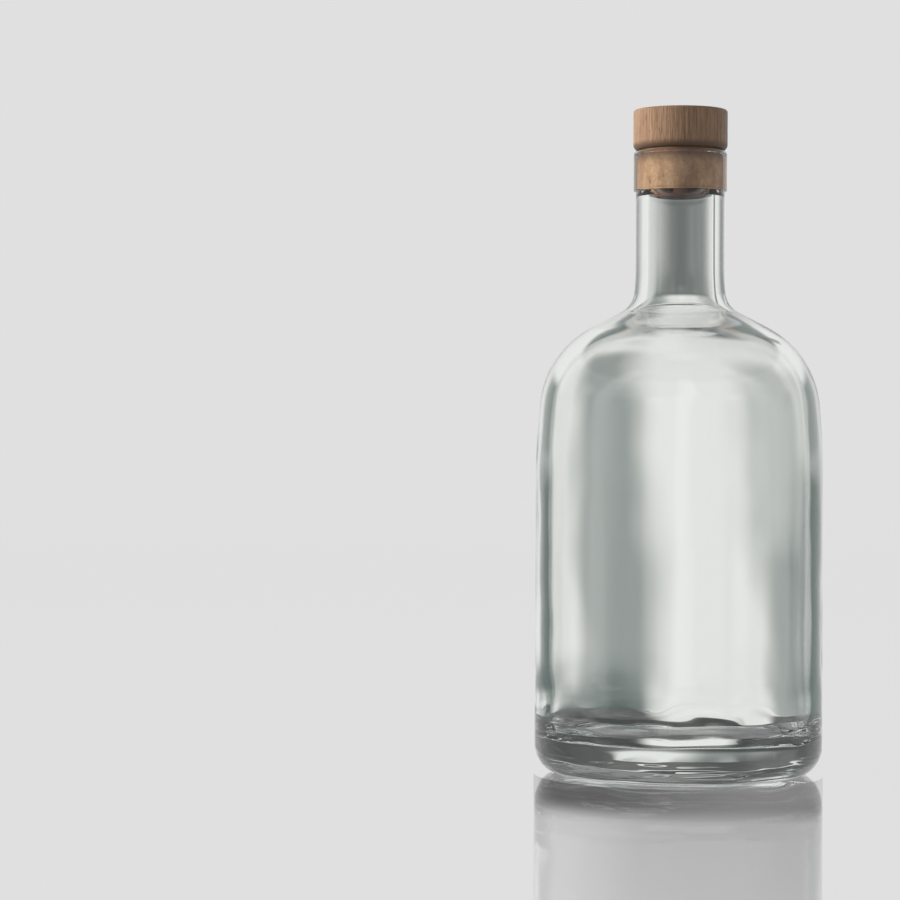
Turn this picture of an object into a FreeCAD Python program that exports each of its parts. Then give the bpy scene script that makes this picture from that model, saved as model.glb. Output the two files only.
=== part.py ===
"""A 700 ml spirits bottle of clear glass, closed by a stopper with a turned wooden head on a cork.

The bottle stands on the XY plane with its axis along +Z. Its outside is one revolved outline: push-up,
bearing ring, heel, side, shoulder, cone, neck and collar. The hollow is cut by a second outline with
walls of its own, so that the glass is heavy in the floor and lighter in the neck. The cork fills the
bore, which it shares its diameter with, and the wooden head is glued on it and rests on the lip.
"""

import FreeCAD, Part
import Sketcher
import math
import os
import re

# Driving dimensions: alias, value in millimetres (or degrees where it says so), what it measures.
DIMENSIONS = [
    ("bottle_height", 202.8, "foot to lip"),
    ("body_diameter", 93.5, "outside of the straight side"),
    ("heel_radius", 8.2, "outside rounding between foot and side"),
    ("shoulder_ease_radius", 255.0, "gentle start of the shoulder, above the side"),
    ("shoulder_ease_angle", 5.6, "how far the gentle start turns, in degrees"),
    ("shoulder_radius", 31.7, "main rounding of the shoulder"),
    ("cone_slope", 27.6, "cone between shoulder and neck, in degrees from level"),
    ("neck_root_radius", 7.8, "hollow rounding between cone and neck"),
    ("neck_flare_radius", 77.0, "gentle widening at the foot of the neck"),
    ("neck_flare_angle", 6.0, "how far that widening turns, in degrees"),
    ("neck_length", 25.1, "straight neck, from its widening up to the collar"),
    ("neck_diameter", 28.9, "outside of the straight neck"),
    ("collar_height", 13.3, "collar, from its underside up to the lip"),
    ("collar_step", 0.75, "how far the collar stands out from the neck"),
    ("collar_foot_radius", 0.55, "rounding of the collar's lower edge"),
    ("lip_radius", 1.3, "outside rounding of the lip"),
    ("mouth_radius", 0.8, "rounding between bore and lip"),
    ("bore_diameter", 17.9, "bore that grips the cork, and the cork in it"),
    ("cork_below_bore", 2.5, "end of the cork that hangs free under the bore"),
    ("bore_flare_length", 2.0, "slope from the bore out to the inside of the neck"),
    ("neck_wall", 4.0, "glass in neck and cone"),
    ("side_wall", 4.25, "glass in the side"),
    ("inner_heel_radius", 8.0, "inside rounding between side and floor"),
    ("floor_thickness", 9.7, "glass on the axis, between push-up and inside floor"),
    ("floor_crown_radius", 265.0, "crown of the inside floor"),
    ("bearing_width", 2.6, "flat ring that the bottle stands on"),
    ("bearing_round_radius", 1.5, "rounding between that ring and the push-up"),
    ("push_up_height", 3.9, "hollow under the floor, on the axis"),
    ("head_diameter", 30.7, "wooden head"),
    ("head_height", 13.3, "wooden head"),
    ("head_crown_radius", 0.8, "rounding of the head's top edge"),
    ("head_foot_radius", 2.0, "rounding of the head's lower edge"),
    ("socket_depth", 4.0, "glue socket that the cork enters in the head"),
    ("cork_length", 15.3, "cork below the lip"),
    ("cork_bevel", 1.0, "bevel on the cork's lower edge"),
]

PARTS_FOLDER = "parts"
TOLERANCE = 1e-6
START, END, CENTRE = 1, 2, 3
HORIZONTAL_AXIS, VERTICAL_AXIS = -1, -2
ORIGIN = (HORIZONTAL_AXIS, START)
QUARTER = 90.0

# The shoulder's bends from the side up to the cone, and the neck's from the cone up to the straight neck.
# Each has its radius and how far it turns, where {side} and {neck} are the outline's depth in the glass.
SHOULDER_BENDS = [
    ("shoulder_ease_radius - {side}", "shoulder_ease_angle"),
    ("shoulder_radius - {side}", "90 - cone_slope - shoulder_ease_angle"),
]
NECK_BENDS = [
    ("neck_root_radius + {neck}", "cone_slope + neck_flare_angle - 90"),
    ("neck_flare_radius + {neck}", "0 - neck_flare_angle"),
]


class Sizes:
    """The spreadsheet of driving dimensions."""

    def __init__(self, doc):
        self.sheet = doc.addObject("Spreadsheet::Sheet", "Sizes")
        for row, (alias, value, meaning) in enumerate(DIMENSIONS, start=1):
            self.sheet.set(f"A{row}", meaning)
            self.sheet.set(f"B{row}", str(value))
            self.sheet.setAlias(f"B{row}", alias)
        doc.recompute()

    def value(self, expression):
        """The number that an expression on the sheet comes to."""
        return float(self.sheet.evalExpression(expression))


def on_sheet(expression, unit="mm"):
    """An expression as other objects of the document read it: every alias has an underscore."""
    named = re.sub(r"[a-z]+(_[a-z]+)+", lambda alias: f"Sizes.{alias.group()}", expression)
    return f"({named}) * 1 {unit}"


def direction(angle):
    """The unit vector at an angle in degrees from a sketch's horizontal."""
    return FreeCAD.Vector(math.cos(math.radians(angle)), math.sin(math.radians(angle)), 0)


def bend(radius, heading, turn):
    """Where an arc's centre and end lie from its start; it turns left where the turn is positive."""
    inward = math.copysign(QUARTER, turn)
    centre = direction(heading + inward) * radius
    return centre, centre + direction(heading - inward + turn) * radius


class Outline:
    """A closed outline round half a section, walked like a path and constrained on the way.

    Each curve starts where the last one ended. A size is an expression on the sheet that becomes a
    constraint; the plain lengths and radii only put the curve where the constraints will hold it.
    """

    def __init__(self, body, name, sizes, start):
        self.sizes = sizes
        self.sketch = body.newObject("Sketcher::SketchObject", name)
        self.sketch.AttachmentSupport = [(origin_plane(body, "XZ_Plane"), "")]
        self.sketch.MapMode = "FlatFace"
        self.here = FreeCAD.Vector(*start, 0)
        self.heading = 0.0
        self.curves = []

    def measure(self, kind, *details, size):
        """Constrain something measured, and bind it to an expression on the sheet."""
        value, unit = self.sizes.value(size), "mm"
        if kind == "Angle":
            value, unit = math.radians(value), "deg"
        index = self.sketch.addConstraint(Sketcher.Constraint(kind, *details, value))
        self.sketch.setExpression(f"Constraints[{index}]", on_sheet(size, unit))

    def fix(self, kind, *details):
        """Add a constraint that has no measure, such as Vertical or Tangent."""
        self.sketch.addConstraint(Sketcher.Constraint(kind, *details))

    def add(self, shape, near, far, smooth):
        """Add a curve, and tie its near end to the last curve's far end."""
        index = self.sketch.addGeometry(shape, False)
        if self.curves:
            last = self.curves[-1]
            self.fix("Tangent" if smooth else "Coincident", *last["far"], index, near)
        curve = {"index": index, "near": (index, near), "far": (index, far)}
        self.curves.append(curve)
        return curve

    def line_to(self, end, smooth=True):
        """Draw a line to a point."""
        curve = self.add(Part.LineSegment(self.here, end), START, END, smooth)
        step = end - self.here
        self.heading = math.degrees(math.atan2(step.y, step.x))
        self.here = end
        return curve

    def line(self, length, kind=None, turn=0.0):
        """Draw a line straight on, or from a corner after a turn; kind is Horizontal or Vertical."""
        end = self.here + direction(self.heading + turn) * length
        curve = self.line_to(end, smooth=turn == 0)
        if kind:
            self.fix(kind, curve["index"])
        return curve

    def arc(self, radius, turn, size=None):
        """Draw an arc that goes on smoothly, left through a positive turn and right through a negative one."""
        centre, end = bend(radius, self.heading, turn)
        first = math.atan2(-centre.y, -centre.x)
        angles = sorted((first, first + math.radians(turn)))
        circle = Part.Circle(self.here + centre, FreeCAD.Vector(0, 0, 1), radius)
        near, far = (START, END) if turn > 0 else (END, START)
        curve = self.add(Part.ArcOfCircle(circle, *angles), near, far, smooth=True)
        if size:
            self.measure("Radius", curve["index"], size=size)
        self.here += end
        self.heading += turn
        return curve

    def close(self):
        """Draw the line down the axis, back to the first curve."""
        first = self.curves[0]
        begin = self.sketch.getPoint(*first["near"])
        axis = self.line_to(begin, smooth=False)
        self.fix("Coincident", *axis["far"], *first["near"])
        self.fix("PointOnObject", *axis["near"], VERTICAL_AXIS)
        self.fix("PointOnObject", *axis["far"], VERTICAL_AXIS)
        return self.sketch


def origin_plane(body, role):
    """One of a body's own origin planes."""
    return next(plane for plane in body.Origin.OriginFeatures if plane.Role == role)


def draw_shoulder_and_neck(path, side_depth, neck_depth):
    """Draw the side, shoulder, cone and neck at their depths in the glass, and return the neck."""
    value = path.sizes.value
    bends = [
        [(size.format(side=side_depth, neck=neck_depth), turn) for size, turn in group]
        for group in (SHOULDER_BENDS, NECK_BENDS)
    ]
    cone_length, rise = cone_and_rise(value, bends, side_depth, neck_depth)
    neck_foot = value("bottle_height - collar_height - neck_length")
    side = path.line(neck_foot - rise - path.here.y, "Vertical")
    shoulder = [path.arc(value(size), value(turn), size) for size, turn in bends[0]]
    cone = path.line(cone_length)
    flare = [path.arc(value(size), value(turn), size) for size, turn in bends[1]]
    neck = path.line(value("neck_length"), "Vertical")
    path.measure("Angle", shoulder[0]["index"], size="shoulder_ease_angle")
    path.measure("Angle", cone["index"], size="180 - cone_slope")
    path.measure("Angle", flare[-1]["index"], size="neck_flare_angle")
    path.measure("DistanceX", *ORIGIN, *side["far"], size=f"body_diameter / 2 - {side_depth}")
    path.measure("DistanceX", *ORIGIN, *neck["near"], size=f"neck_diameter / 2 - {neck_depth}")
    path.measure("DistanceY", *ORIGIN, *neck["near"], size="bottle_height - collar_height - neck_length")
    return neck


def cone_and_rise(value, bends, side_depth, neck_depth):
    """The cone's length, and how far the straight neck starts above the top of the side."""
    heading = QUARTER
    moved = FreeCAD.Vector()
    for size, turn in bends[0] + bends[1]:
        moved += bend(value(size), heading, value(turn))[1]
        heading += value(turn)
    across = value(f"neck_diameter / 2 - {neck_depth} - (body_diameter / 2 - {side_depth})") - moved.x
    slope = math.radians(value("cone_slope"))
    return -across / math.cos(slope), moved.y - across * math.tan(slope)


def draw_outside(body, sizes):
    """The outside of the bottle, from the centre of the push-up round to the lip."""
    value = sizes.value
    ring_inside = value("body_diameter / 2 - heel_radius - bearing_width")
    push_up_turn = 2 * math.degrees(math.atan(value("push_up_height") / ring_inside))
    reach = ring_inside / math.sin(math.radians(push_up_turn))
    path = Outline(body, "OutsideOutline", sizes, (0, value("push_up_height")))
    push_up = path.arc(reach - value("bearing_round_radius"), -push_up_turn)
    path.arc(value("bearing_round_radius"), push_up_turn, "bearing_round_radius")
    ring = path.line(value("bearing_width"), "Horizontal")
    path.arc(value("heel_radius"), QUARTER, "heel_radius")
    draw_shoulder_and_neck(path, "0", "0")
    ledge = path.line(value("collar_step - collar_foot_radius"), "Horizontal", -QUARTER)
    path.arc(value("collar_foot_radius"), QUARTER, "collar_foot_radius")
    collar = path.line(value("collar_height - collar_foot_radius - lip_radius"), "Vertical")
    path.arc(value("lip_radius"), QUARTER, "lip_radius")
    lip = path.line(path.here.x, "Horizontal")
    sketch = path.close()
    path.fix("PointOnObject", push_up["index"], CENTRE, VERTICAL_AXIS)
    path.fix("PointOnObject", *ring["far"], HORIZONTAL_AXIS)
    path.measure("DistanceY", *ORIGIN, *push_up["near"], size="push_up_height")
    path.measure("Distance", ring["index"], size="bearing_width")
    path.measure("DistanceY", *ORIGIN, *ledge["near"], size="bottle_height - collar_height")
    path.measure("DistanceX", *ORIGIN, *collar["far"], size="neck_diameter / 2 + collar_step")
    path.measure("DistanceY", *ORIGIN, *lip["far"], size="bottle_height")
    return sketch


def draw_hollow(body, sizes):
    """The hollow of the bottle, from the centre of the inside floor up the wall to the mouth."""
    value = sizes.value
    floor_height = value("push_up_height + floor_thickness")
    crown = value("floor_crown_radius")
    heel = value("inner_heel_radius")
    crown_reach = value("body_diameter / 2 - side_wall - inner_heel_radius")
    crown_turn = math.degrees(math.asin(crown_reach / (crown + heel)))
    path = Outline(body, "HollowOutline", sizes, (0, floor_height))
    floor = path.arc(crown, -crown_turn, "floor_crown_radius")
    path.arc(heel, QUARTER + crown_turn, "inner_heel_radius")
    draw_shoulder_and_neck(path, "side_wall", "neck_wall")
    bore_foot = value("bottle_height - cork_length + cork_below_bore")
    bore_radius = value("bore_diameter / 2")
    neck = path.curves[-1]
    slope = path.line_to(FreeCAD.Vector(bore_radius, bore_foot, 0), smooth=False)
    bore = path.line_to(FreeCAD.Vector(bore_radius, value("bottle_height"), 0), smooth=False)
    mouth = path.line_to(FreeCAD.Vector(0, value("bottle_height"), 0), smooth=False)
    sketch = path.close()
    path.fix("PointOnObject", floor["index"], CENTRE, VERTICAL_AXIS)
    path.measure("DistanceY", *ORIGIN, *floor["near"], size="push_up_height + floor_thickness")
    path.fix("Vertical", bore["index"])
    path.fix("Horizontal", mouth["index"])
    path.measure("DistanceX", *ORIGIN, *bore["far"], size="bore_diameter / 2")
    path.measure("DistanceY", *ORIGIN, *bore["near"], size="bottle_height - cork_length + cork_below_bore")
    path.measure("DistanceY", *neck["far"], *bore["near"], size="bore_flare_length")
    path.measure("DistanceY", *ORIGIN, *mouth["far"], size="bottle_height")
    return sketch


def revolve(body, kind, name, sketch):
    """Turn a sketch once round the body's own vertical axis, adding or cutting."""
    feature = body.newObject(f"PartDesign::{kind}", name)
    feature.Profile = sketch
    feature.ReferenceAxis = (sketch, ["V_Axis"])
    feature.Angle = 360.0
    body.Document.recompute()
    return feature


def trim_edge(body, kind, name, base, circle, size):
    """Fillet or chamfer the one circular edge of a base that has this radius and height in its body."""
    radius, height = circle
    edges = [
        f"Edge{number}"
        for number, edge in enumerate(base.Shape.Edges, start=1)
        if is_circle(edge, radius, height)
    ]
    if len(edges) != 1:
        raise RuntimeError(f"{name}: {len(edges)} edges of radius {radius} at height {height}")
    trim = body.newObject(f"PartDesign::{kind}", name)
    trim.Base = (base, edges)
    trim.setExpression("Radius" if kind == "Fillet" else "Size", on_sheet(size))
    body.Document.recompute()
    return trim


def is_circle(edge, radius, height):
    """Whether an edge is a full circle with this radius and height."""
    if edge.Degenerated or not isinstance(edge.Curve, Part.Circle):
        return False
    near = abs(edge.Curve.Radius - radius) < TOLERANCE
    return near and abs(edge.Curve.Center.z - height) < TOLERANCE


def draw_disc(body, name, size):
    """A circle round the body's axis, whose diameter is an expression on the sheet."""
    sketch = body.newObject("Sketcher::SketchObject", name)
    sketch.AttachmentSupport = [(origin_plane(body, "XY_Plane"), "")]
    sketch.MapMode = "FlatFace"
    circle = sketch.addGeometry(Part.Circle(FreeCAD.Vector(), FreeCAD.Vector(0, 0, 1), 1.0), False)
    sketch.addConstraint(Sketcher.Constraint("Coincident", circle, CENTRE, *ORIGIN))
    diameter = sketch.addConstraint(Sketcher.Constraint("Diameter", circle, 2.0))
    sketch.setExpression(f"Constraints[{diameter}]", on_sheet(size))
    return sketch


def pad(body, name, sketch, size):
    """Raise a sketch by an expression on the sheet."""
    feature = body.newObject("PartDesign::Pad", name)
    feature.Profile = sketch
    feature.setExpression("Length", on_sheet(size))
    body.Document.recompute()
    return feature


def pocket_upward(body, name, sketch, size):
    """Cut a sketch upwards out of the body, and make sure that it did cut."""
    before = body.Shape.Volume
    feature = body.newObject("PartDesign::Pocket", name)
    feature.Profile = sketch
    feature.Reversed = True
    feature.setExpression("Length", on_sheet(size))
    body.Document.recompute()
    expect_less(body, before)
    return feature


def expect_less(body, before):
    """Stop if a cut took nothing from its body."""
    if not body.Shape.Volume < before - TOLERANCE:
        raise RuntimeError(f"{body.Label}: a cut took nothing away")


def new_body(doc, label, height=None):
    """An empty body whose own XY plane lies at a height given by an expression on the sheet."""
    body = doc.addObject("PartDesign::Body", label)
    body.Label = label
    if height:
        body.setExpression("Placement.Base.z", on_sheet(height))
    doc.recompute()
    return body


def make_bottle(doc, sizes):
    """The glass: its outside revolved, its hollow cut out, and the mouth's edge rounded."""
    body = new_body(doc, "bottle_glass")
    revolve(body, "Revolution", "Outside", draw_outside(body, sizes))
    before = body.Shape.Volume
    hollow = revolve(body, "Groove", "Hollow", draw_hollow(body, sizes))
    expect_less(body, before)
    mouth = (sizes.value("bore_diameter / 2"), sizes.value("bottle_height"))
    trim_edge(body, "Fillet", "MouthRounding", hollow, mouth, "mouth_radius")
    return body


def make_stopper_head(doc, sizes):
    """The turned wooden head, which rests on the lip and has a socket for the cork."""
    body = new_body(doc, "stopper_head", "bottle_height")
    radius = sizes.value("head_diameter / 2")
    block = pad(body, "Block", draw_disc(body, "BlockOutline", "head_diameter"), "head_height")
    top = (radius, sizes.value("head_height"))
    crown = trim_edge(body, "Fillet", "CrownRounding", block, top, "head_crown_radius")
    trim_edge(body, "Fillet", "FootRounding", crown, (radius, 0), "head_foot_radius")
    pocket_upward(body, "Socket", draw_disc(body, "SocketOutline", "bore_diameter"), "socket_depth")
    return body


def make_cork(doc, sizes):
    """The cork, from its bevelled lower edge in the bore up to the end of the head's socket."""
    body = new_body(doc, "stopper_cork", "bottle_height - cork_length")
    length = "cork_length + socket_depth"
    shank = pad(body, "Shank", draw_disc(body, "ShankOutline", "bore_diameter"), length)
    trim_edge(body, "Chamfer", "Bevel", shank, (sizes.value("bore_diameter / 2"), 0), "cork_bevel")
    return body


def check(doc, bodies):
    """Stop unless every object was computed, every sketch is settled and every body is one good solid."""
    for thing in doc.Objects:
        if {"Invalid", "Error"} & set(thing.State):
            raise RuntimeError(f"{thing.Label}: {thing.State}")
        if thing.isDerivedFrom("Sketcher::SketchObject") and not thing.FullyConstrained:
            raise RuntimeError(f"{thing.Label}: not fully constrained")
    for body in bodies:
        shape = body.Shape
        if shape.isNull() or not shape.isValid() or len(shape.Solids) != 1:
            raise RuntimeError(f"{body.Label}: not one valid solid")


def main():
    doc = FreeCAD.newDocument("GlassBottle")
    sizes = Sizes(doc)
    bodies = [make_bottle(doc, sizes), make_stopper_head(doc, sizes), make_cork(doc, sizes)]
    doc.recompute()
    check(doc, bodies)
    os.makedirs(PARTS_FOLDER, exist_ok=True)
    for body in bodies:
        body.Shape.exportStep(os.path.join(PARTS_FOLDER, f"{body.Label}.step"))
        print(f"{body.Label}: {body.Shape.Volume / 1000:.2f} cm3")


main()
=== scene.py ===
"""A round spirits bottle of clear glass with a wooden-headed cork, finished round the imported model.

Lengths are in metres and the frame is the model's own: the bottle stands on z = 0 with its axis on +Z.
The file is laid out as an add-on, with one operator for each piece, and it is run as a script.
"""

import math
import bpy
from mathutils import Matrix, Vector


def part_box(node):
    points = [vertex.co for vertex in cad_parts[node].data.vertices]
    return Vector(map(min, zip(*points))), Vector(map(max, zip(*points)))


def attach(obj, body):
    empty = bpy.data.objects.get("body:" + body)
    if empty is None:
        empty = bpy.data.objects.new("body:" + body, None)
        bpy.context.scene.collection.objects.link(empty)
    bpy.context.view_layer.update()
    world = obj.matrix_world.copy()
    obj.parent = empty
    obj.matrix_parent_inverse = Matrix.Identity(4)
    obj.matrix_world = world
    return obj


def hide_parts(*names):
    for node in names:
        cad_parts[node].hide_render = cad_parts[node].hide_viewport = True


bl_info = {
    "name": "Stoppered Glass Bottle",
    "version": (1, 0, 0),
    "blender": (4, 5, 0),
    "location": "3D Viewport > Sidebar > Bottle",
    "description": "Finishes a clear glass bottle with its cork stopper, and sets it in a small studio",
    "category": "Add Mesh",
}

import bpy
from bpy.props import FloatProperty, FloatVectorProperty, IntProperty, PointerProperty
from mathutils import Euler, Vector

MM = 0.001
QUARTER = math.pi / 2
WHITE = (1.0, 1.0, 1.0, 1.0)
LEVEL = (1.0, 1.0, 0.0)

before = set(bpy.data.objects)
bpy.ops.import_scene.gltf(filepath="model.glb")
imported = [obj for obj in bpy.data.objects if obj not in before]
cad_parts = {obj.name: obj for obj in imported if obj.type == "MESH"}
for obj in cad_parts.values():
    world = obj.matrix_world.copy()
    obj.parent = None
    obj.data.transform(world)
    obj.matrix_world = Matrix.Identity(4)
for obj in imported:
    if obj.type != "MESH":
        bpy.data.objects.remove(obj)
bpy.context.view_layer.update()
GLASS_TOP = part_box("bottle_glass")[1]
HEAD_FOOT, HEAD_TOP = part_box("stopper_head")
CORK_FOOT, CORK_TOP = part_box("stopper_cork")


def length(name, description, default):
    """A length that a user can change, in metres."""
    return FloatProperty(
        name=name, description=description, default=default, min=0.0, unit="LENGTH", precision=5
    )


def angle(name, description, degrees):
    """An angle that a user can change, kept in radians."""
    return FloatProperty(
        name=name, description=description, default=math.radians(degrees), subtype="ANGLE"
    )


def linear(hex_code):
    """A colour written as an sRGB hex code, as the linear values that shaders take."""
    parts = [int(hex_code[place:place + 2], 16) / 255 for place in (0, 2, 4)]
    return [part / 12.92 if part <= 0.04045 else ((part + 0.055) / 1.055) ** 2.4 for part in parts]


def colour(name, description, hex_code):
    """A colour that a user can change."""
    return FloatVectorProperty(
        name=name, description=description, default=linear(hex_code),
        size=3, min=0.0, max=1.0, subtype="COLOR",
    )


class BottleGlass(bpy.types.PropertyGroup):
    """Sizes and colour of the glass. Height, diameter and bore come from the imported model."""

    heel: length("Heel", "Outside rounding between foot and side", 8.2 * MM)
    ring: length("Bearing ring", "Width of the flat ring that the bottle stands on", 2.6 * MM)
    ring_round: length("Ring rounding", "Rounding between ring and push-up", 1.5 * MM)
    push_up: length("Push-up", "Height of the hollow under the floor", 3.9 * MM)
    shoulder: length("Shoulder", "Main outside rounding of the shoulder", 31.7 * MM)
    shoulder_ease: length("Shoulder ease", "Gentle start of the shoulder above the side", 255 * MM)
    ease_turn: angle("Ease turn", "How far the shoulder's gentle start turns", 5.6)
    cone_slope: angle("Cone slope", "Slope between shoulder and neck, from level", 27.6)
    root: length("Neck root", "Hollow rounding between cone and neck", 7.8 * MM)
    flare: length("Neck flare", "Gentle widening at the foot of the neck", 77 * MM)
    flare_turn: angle("Flare turn", "How far that widening turns", 6.0)
    neck: length("Neck radius", "Outside radius of the straight neck", 14.45 * MM)
    neck_length: length("Neck length", "Straight neck, up to the collar", 25.1 * MM)
    collar_height: length("Collar height", "Collar, up to the lip", 13.3 * MM)
    collar_step: length("Collar step", "How far the collar stands out", 0.75 * MM)
    collar_foot: length("Collar foot", "Rounding of the collar's lower edge", 0.55 * MM)
    lip: length("Lip", "Outside rounding of the lip", 1.3 * MM)
    mouth: length("Mouth", "Rounding between bore and lip", 0.8 * MM)
    cork_below_bore: length("Cork below bore", "End of the cork that hangs free under the bore", 2.5 * MM)
    bore_slope: length("Bore slope", "Height over which the bore opens into the neck", 2.0 * MM)
    neck_wall: length("Neck wall", "Glass in neck and cone", 4.0 * MM)
    side_wall: length("Side wall", "Glass in the side", 4.25 * MM)
    inner_heel: length("Inner heel", "Inside rounding between side and floor", 8.0 * MM)
    floor: length("Floor", "Glass on the axis, above the push-up", 9.7 * MM)
    crown: length("Floor crown", "Radius of the inside floor's crown", 265 * MM)
    ripple: length("Ripple", "Unevenness of the blown inside surface", 2.0 * MM)
    ripple_size: length("Ripple size", "Distance from one ripple to the next", 24 * MM)
    streak: length("Streak", "Depth of the flow marks in heel and floor rim", 0.5 * MM)
    streak_size: length("Streak size", "Height of one flow mark", 2.0 * MM)
    segments: IntProperty(name="Segments", description="Facets round the glass", default=280, min=24)
    tint: colour("Tint", "Colour of the light that thick glass lets through", "B9D3C8")
    tint_density: FloatProperty(name="Tint density", description="Absorption per metre", default=1.5)


class StopperSizes(bpy.types.PropertyGroup):
    """Sizes and colours of the stopper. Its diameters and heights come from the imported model."""

    crown: length("Crown", "Rounding of the wooden head's top edge", 0.8 * MM)
    foot: length("Foot", "Rounding of the wooden head's lower edge", 2.0 * MM)
    socket: length("Socket", "Depth of the glue socket in the head", CORK_TOP.z - HEAD_FOOT.z)
    bevel: length("Bevel", "Bevel on the cork's lower edge", 1.0 * MM)
    squeeze: length("Squeeze", "How far the cork presses into the glass, so that no air shows", 0.2 * MM)
    segments: IntProperty(name="Segments", description="Facets round the stopper", default=192, min=24)
    light_wood: colour("Light wood", "Early wood of the head", "BD9A7C")
    dark_wood: colour("Dark wood", "Late wood and pores of the head", "7A5A43")
    light_cork: colour("Light cork", "Pale grains of the cork", "CFA17E")
    dark_cork: colour("Dark cork", "Dark grains and pores of the cork", "8E5E42")
    stained_cork: colour("Stained cork", "Both ends of the cork, darkened by use", "4A3226")


class StudioSettings(bpy.types.PropertyGroup):
    """The table, the light and the camera."""

    paper: colour("Backdrop", "Pale grey of backdrop, table and sky", "E0E0E0")
    cloth: colour("Cloth", "White of the tent's cloth where it has no shade", "E9EBE8")
    shade: colour("Shade", "Grey-green of the wall's shades", "27453F")
    dusk: colour("Dusk", "Greyer shade behind the neck", "2C3A37")
    gloom: colour("Gloom", "Dark grey under and close to the foot", "303332")
    buff: colour("Buff", "Brown behind the collar", "846E58")
    tent_radius: length("Tent radius", "Round wall of cloth that only the glass shows", 0.22)
    tent_height: length("Tent height", "Height of that wall", 0.6)
    close: length("Close shades", "Distance from the axis at which rays pass the close shades", 50 * MM)
    sway: angle("Sway", "How far the edges of the shades wander", 2.6)
    raised_shade: FloatProperty(name="Raised shade", description="Shade left for a raised eye", default=0.15)
    # Painted grey over the table's mirror image: the cylinder's radius, and how much grey is mixed in.
    painted_grey_radius: length("Painted grey radius", "Distance from the axis at which the mirror image is dimmed", 47 * MM)
    painted_grey: FloatProperty(name="Painted grey", description="How much of the mirror image is dimmed", default=0.86)
    dome_light: FloatProperty(name="Dome light", description="Soft light from all round", default=0.23)
    key_light: FloatProperty(name="Key light", description="Watts of the lamp on the left", default=12.5)
    cork_light: FloatProperty(name="Cork light", description="Watts of the lamp for the cork", default=125.0)
    camera_distance: length("Camera distance", "From the lens to the bottle's axis", 0.9535)
    camera_height: length("Camera height", "From the table to the lens", 0.1032)
    camera_aside: length("Camera aside", "How far the lens stands left of the bottle's axis", 0.0748)
    focal_length: FloatProperty(name="Focal length", description="In millimetres", default=116.8)
    tilt: angle("Tilt", "How far the camera looks above level", 0.1)
    roll: angle("Roll", "How far the camera leans", 0.27)


def add(tree, kind, inputs=(), **settings):
    """Add a node with its settings. Its inputs, by name or in order, take values or other sockets."""
    node = tree.nodes.new(kind)
    for name, value in settings.items():
        setattr(node, name, value)
    for name, value in inputs.items() if isinstance(inputs, dict) else enumerate(inputs):
        if isinstance(value, bpy.types.NodeSocket):
            tree.links.new(value, node.inputs[name])
        else:
            node.inputs[name].default_value = value
    return node


class Walk:
    """A path in the plane of radius and height, walked in straight runs and arcs."""

    STEP = 2.4 * MM
    ARC_STEP = math.radians(5)

    def __init__(self, radius, height):
        self.points = [Vector((radius, height))]
        self.heading = 0.0

    def to(self, radius, height):
        """Run straight to a point."""
        start, end = self.points[-1], Vector((radius, height))
        count = max(1, math.ceil((end - start).length / self.STEP))
        self.points += [start.lerp(end, part / count) for part in range(1, count + 1)]
        self.heading = math.atan2(end.y - start.y, end.x - start.x)

    def run(self, distance, turn=0.0):
        """Run straight on, or from a corner after a turn to the left."""
        heading = self.heading + turn
        end = self.points[-1] + heading_vector(heading) * distance
        self.to(end.x, end.y)

    def arc(self, radius, turn, fine=1):
        """Go round an arc, to the left through a positive turn and to the right through a negative one."""
        side = math.copysign(QUARTER, turn)
        centre = self.points[-1] + heading_vector(self.heading + side) * radius
        steps = max(abs(turn) / self.ARC_STEP, abs(turn) * radius / self.STEP)
        count = max(2, math.ceil(steps) * fine)
        for part in range(1, count + 1):
            out = heading_vector(self.heading - side + turn * part / count)
            self.points.append(centre + out * radius)
        self.heading += turn


def heading_vector(heading):
    """The unit vector of a heading."""
    return Vector((math.cos(heading), math.sin(heading)))


def arc_shift(radius, heading, turn):
    """How far an arc carries a path."""
    walk = Walk(0.0, 0.0)
    walk.heading = heading
    walk.arc(radius, turn)
    return walk.points[-1]


def walk_up_the_wall(walk, glass, side_depth, neck_depth):
    """Walk up the side, shoulder, cone and neck, at depths in the glass from its outside."""
    bends = [
        (glass.shoulder_ease - side_depth, glass.ease_turn),
        (glass.shoulder - side_depth, QUARTER - glass.cone_slope - glass.ease_turn),
        (glass.root + neck_depth, glass.cone_slope + glass.flare_turn - QUARTER),
        (glass.flare + neck_depth, -glass.flare_turn),
    ]
    heading = QUARTER
    shift = Vector((0.0, 0.0))
    for radius, turn in bends:
        shift += arc_shift(radius, heading, turn)
        heading += turn
    side_radius = GLASS_TOP.x - side_depth
    cone_run = side_radius + shift.x - (glass.neck - neck_depth)
    neck_foot = GLASS_TOP.z - glass.collar_height - glass.neck_length
    side_top = neck_foot - shift.y - cone_run * math.tan(glass.cone_slope)
    walk.to(side_radius, side_top)
    walk.arc(*bends[0])
    walk.arc(*bends[1])
    walk.run(cone_run / math.cos(glass.cone_slope))
    walk.arc(*bends[2])
    walk.arc(*bends[3])
    walk.to(glass.neck - neck_depth, neck_foot + glass.neck_length)


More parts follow.
